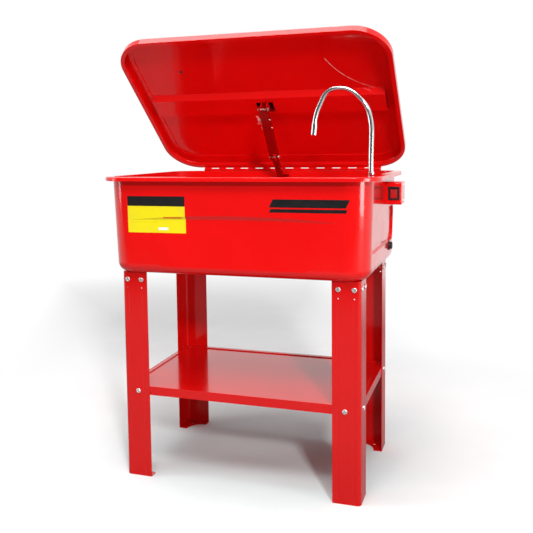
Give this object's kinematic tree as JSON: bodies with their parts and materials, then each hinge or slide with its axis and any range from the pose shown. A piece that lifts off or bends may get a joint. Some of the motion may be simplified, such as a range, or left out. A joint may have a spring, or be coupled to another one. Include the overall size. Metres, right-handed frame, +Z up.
{
  "type": "parts washer tank",
  "caption": "Floor-standing parts washer: deep pressed tub on four angle legs, hinged lid held by a folding stay, flexible spigot with pump, work shelf and lower shelf.",
  "frame": {"origin": "on the floor under the middle of the tub's rim, at the centre of the four anchor holes", "axes": "+Z up, -Y to the front where the user stands, +X to the user's right, the side of the switch box"},
  "size_m": [0.8078, 0.5667, 1.2465],
  "materials": {
    "red_enamel": "glossy red powder coat over steel sheet",
    "zinc_steel": "bright zinc plate",
    "chrome_tube": "polished chrome plate",
    "link_alloy": "dull bare alloy",
    "black_plastic": "moulded, fine grain",
    "red_rocker": "translucent red moulding",
    "clear_hose": "smooth black hose",
    "label_vinyl": "printed vinyl film, no lettering",
    "stripe_vinyl": "cut vinyl film",
    "black_rubber": "matt black rubber"
  },
  "bodies": {
    "root": {"bracket_front_left": "red_enamel", "bracket_front_right": "red_enamel", "bracket_rear_left": "red_enamel", "bracket_rear_right": "red_enamel", "cord_gland": "black_plastic", "drain_bushing": "black_plastic", "front_label": "label_vinyl", "front_stripes": "stripe_vinyl", "hinge_leaf_tank": "red_enamel", "hinge_pin": "zinc_steel", "hinge_rivets_tank": "red_enamel", "leg_bolts": "zinc_steel", "leg_front_left": "red_enamel", "leg_front_right": "red_enamel", "leg_nuts": "zinc_steel", "leg_rear_left": "red_enamel", "leg_rear_right": "red_enamel", "lower_shelf": "red_enamel", "pump_body": "black_plastic", "pump_hose": "clear_hose", "pump_lead": "black_rubber", "pump_outlet": "black_plastic", "pump_strainer": "black_plastic", "shelf_bolts": "zinc_steel", "shelf_nuts": "zinc_steel", "spigot_bracket": "red_enamel", "spigot_fitting": "zinc_steel", "spigot_nut": "zinc_steel", "spigot_pin": "zinc_steel", "stay_bracket": "red_enamel", "stay_bracket_pin": "zinc_steel", "switch_bezel": "black_plastic", "switch_box_base": "red_enamel", "switch_box_cover": "red_enamel", "switch_screws": "zinc_steel", "tank": "red_enamel", "wall_grommet": "black_rubber", "work_shelf": "red_enamel"},
    "lid": {"lid": "red_enamel", "lid_stiffener": "red_enamel", "hinge_leaf_lid": "red_enamel", "hinge_rivets_lid": "red_enamel", "stay_clevis": "red_enamel", "stay_clevis_pin": "zinc_steel"},
    "stay_lower": {"stay_lower_arm": "red_enamel", "knee_pin": "zinc_steel"},
    "stay_upper": {"stay_upper_arm": "red_enamel", "link_studs": "zinc_steel", "fusible_link": "link_alloy", "wing_nut": "zinc_steel"},
    "spigot": {"spigot_swivel": "chrome_tube", "gooseneck": "chrome_tube", "nozzle": "chrome_tube"},
    "rocker": {"rocker": "red_rocker"},
    "drain_plug": {"drain_plug": "black_rubber"}
  },
  "joints": [
    {"name": "lid_hinge", "type": "hinge", "parent": "root", "child": "lid", "pos_m": [0, 0.2785, 0.863], "axis": [1, 0, 0], "range_deg": [0, 40.95]},
    {"name": "stay_anchor_pivot", "type": "hinge", "parent": "root", "child": "stay_lower", "pos_m": [0, 0.24, 0.83], "axis": [1, 0, 0], "range_deg": [0, 55.27]},
    {"name": "stay_knee_pivot", "type": "hinge", "parent": "stay_lower", "child": "stay_upper", "pos_m": [0, 0.16, 0.906], "axis": [1, 0, 0], "range_deg": [-20.06, 0]},
    {"name": "spigot_fold", "type": "hinge", "parent": "root", "child": "spigot", "pos_m": [0.34398, -0.1, 0.848], "axis": [0, -1, 0], "range_deg": [0, 90]},
    {"name": "switch_rocker", "type": "hinge", "parent": "root", "child": "rocker", "pos_m": [0.38784, 0.028, 0.803], "axis": [1, 0, 0], "range_deg": [-14, 0]},
    {"name": "drain_plug_pull", "type": "slide", "parent": "root", "child": "drain_plug", "axis": [1, 0, 0], "range_m": [0, 0.014]}
  ],
  "couplings": [
    {"joint": "stay_anchor_pivot", "follows": "lid_hinge", "ratio": 1.3494},
    {"joint": "stay_knee_pivot", "follows": "lid_hinge", "ratio": -0.4896},
    {"joint": "spigot_fold", "follows": "lid_hinge", "ratio": 2.197}
  ]
}
